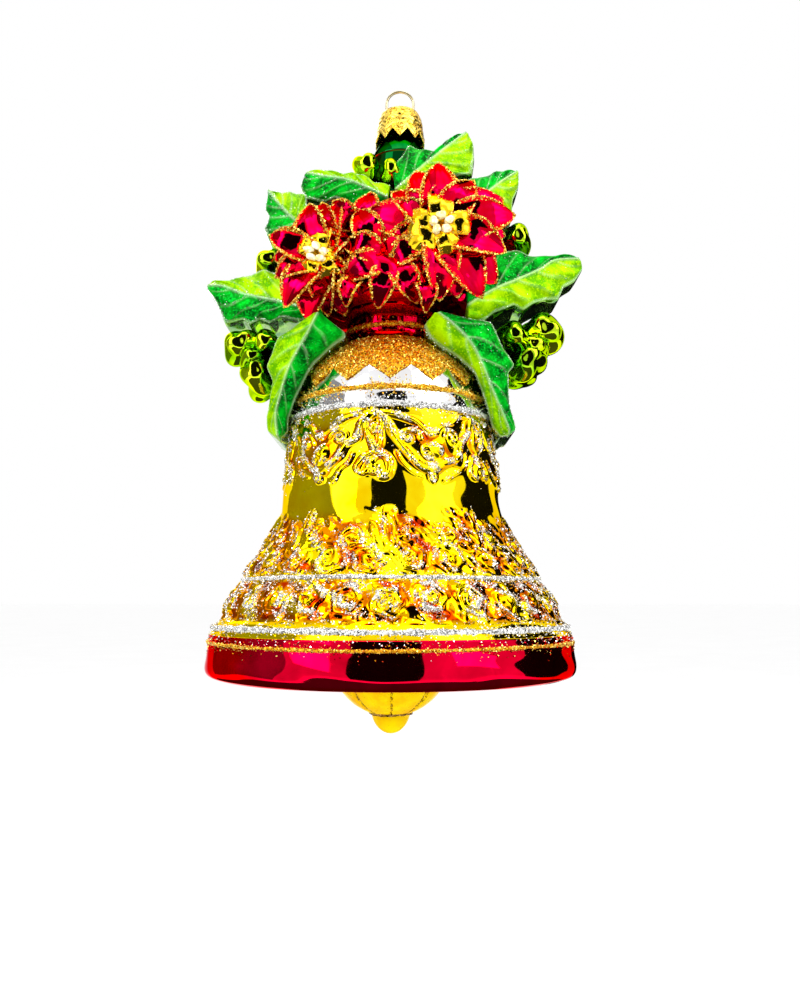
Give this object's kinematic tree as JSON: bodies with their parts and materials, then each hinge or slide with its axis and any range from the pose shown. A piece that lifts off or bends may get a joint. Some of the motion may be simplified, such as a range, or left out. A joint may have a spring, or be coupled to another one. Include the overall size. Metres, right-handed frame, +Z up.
{
  "type": "bell ornament",
  "caption": "Blown glass bell ornament with a ringing clapper, under a crown of moulded leaves, berries and poinsettias, hung by a capped wire ring.",
  "frame": {"origin": "the point inside the top of the hanging ring where a hook bears", "axes": "+Z up, -Y to the front of the ornament, +X to the right as it is seen from the front"},
  "size_m": [0.1045, 0.1, 0.1842],
  "materials": {
    "red_lacquer": "mirror-silvered glass under transparent red lacquer",
    "gold_lacquer": "mirror-silvered glass under golden yellow lacquer",
    "silver_mirror": "mirror-silvered clear glass",
    "green_lacquer": "mirror-silvered glass under dark green lacquer",
    "olive_mirror": "mirror-silvered glass under olive green lacquer",
    "leaf_green": "green lacquered glass, frosted with glitter",
    "pale_bead": "pearl lacquer",
    "satin_gold": "satin golden lacquer",
    "cap_gold": "embossed and bright plated",
    "plated_wire": "bright plated wire",
    "cement": "matt plaster cement",
    "gold_glitter": "fine gold glass glitter in glue",
    "silver_glitter": "fine silver glass glitter in glue",
    "bronze_glitter": "fine bronze glass glitter in glue"
  },
  "bodies": {
    "hanger": {"hanger_wire": "plated_wire"},
    "cap": {"crown_cap": "cap_gold"},
    "bell": {"bell_body": "gold_lacquer", "bell_collar": "red_lacquer", "bell_dome": "silver_mirror", "berries_left": "olive_mirror", "berries_right": "olive_mirror", "berries_top": "olive_mirror", "berry_upper_left": "olive_mirror", "berry_upper_right": "olive_mirror", "clapper_staple": "plated_wire", "crown_core": "green_lacquer", "crown_plug": "cement", "dome_frosting": "gold_glitter", "glass_neck": "green_lacquer", "leaf_left": "leaf_green", "leaf_lower_left": "leaf_green", "leaf_lower_right": "leaf_green", "leaf_right": "leaf_green", "leaf_top_left": "leaf_green", "leaf_top_right": "leaf_green", "leaf_upper_left": "leaf_green", "leaf_upper_right": "leaf_green", "left_beads_back": "pale_bead", "left_beads_front": "pale_bead", "left_bracts_back": "red_lacquer", "left_bracts_front": "red_lacquer", "left_heart_back": "gold_lacquer", "left_heart_front": "gold_lacquer", "left_underpetals_back": "red_lacquer", "left_underpetals_front": "red_lacquer", "right_beads_back": "pale_bead", "right_beads_front": "pale_bead", "right_bracts_back": "red_lacquer", "right_bracts_front": "red_lacquer", "right_heart_back": "gold_lacquer", "right_heart_front": "gold_lacquer", "right_underpetals_back": "red_lacquer", "right_underpetals_front": "red_lacquer", "rim_band": "red_lacquer", "trim_collar_gold": "gold_glitter", "trim_dome_gold": "gold_glitter", "trim_rim_gold": "gold_glitter", "trim_rim_silver": "silver_glitter", "trim_shoulder_silver": "silver_glitter", "trim_waist_silver": "silver_glitter"},
    "link": {"clapper_link": "plated_wire"},
    "clapper": {"clapper_stem": "plated_wire", "clapper_ball": "satin_gold", "clapper_knob": "satin_gold", "clapper_trim": "bronze_glitter"}
  },
  "joints": [
    {"name": "ring_pull", "type": "slide", "parent": "hanger", "child": "cap", "axis": [0, 0, -1], "range_m": [0, 0.011]},
    {"name": "cap_turn", "type": "hinge", "parent": "cap", "child": "bell", "pos_m": [0, 0, -0.012], "axis": [0, 0, 1], "continuous": true},
    {"name": "clapper_swing_front", "type": "hinge", "parent": "bell", "child": "link", "pos_m": [-0.0025, 0, -0.084], "axis": [1, 0, 0], "range_deg": [-15, 15]},
    {"name": "clapper_swing_side", "type": "hinge", "parent": "link", "child": "clapper", "pos_m": [-0.0025, 0, -0.08945], "axis": [0, 1, 0], "range_deg": [-15, 15]}
  ]
}
